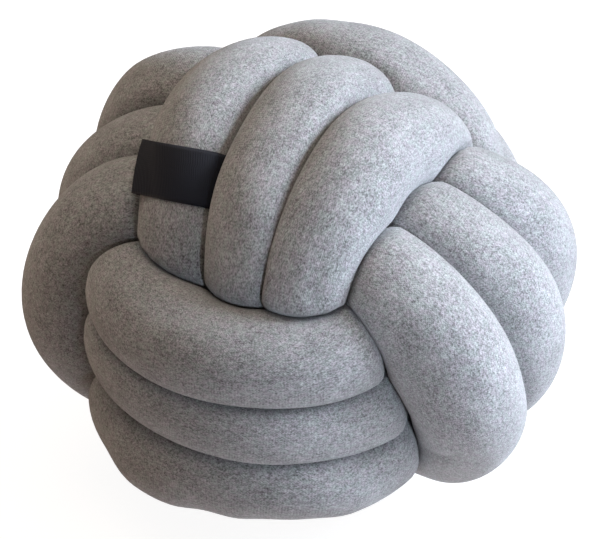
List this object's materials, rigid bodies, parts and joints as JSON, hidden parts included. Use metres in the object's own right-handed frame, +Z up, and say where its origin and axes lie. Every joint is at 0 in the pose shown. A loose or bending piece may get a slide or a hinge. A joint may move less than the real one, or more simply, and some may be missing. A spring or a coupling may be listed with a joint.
{
  "type": "knot cushion",
  "caption": "Round cushion made of one long stuffed jersey tube tied as a ball of interwoven strands, with a ribbon label; stands by itself as a soft seat accent.",
  "frame": {"origin": "centre of the bounding box at the floor it rests on", "axes": "+Z up, the way it stands in the picture; the pictured side faces -Y, +X is to its right"},
  "size_m": [0.2978, 0.274, 0.2474],
  "materials": {
    "jersey": "heather grey knitted jersey, soft and matt",
    "ribbon": "near-black woven satin ribbon"
  },
  "bodies": {
    "root": {"knot": "jersey", "label": "ribbon"}
  },
  "joints": []
}
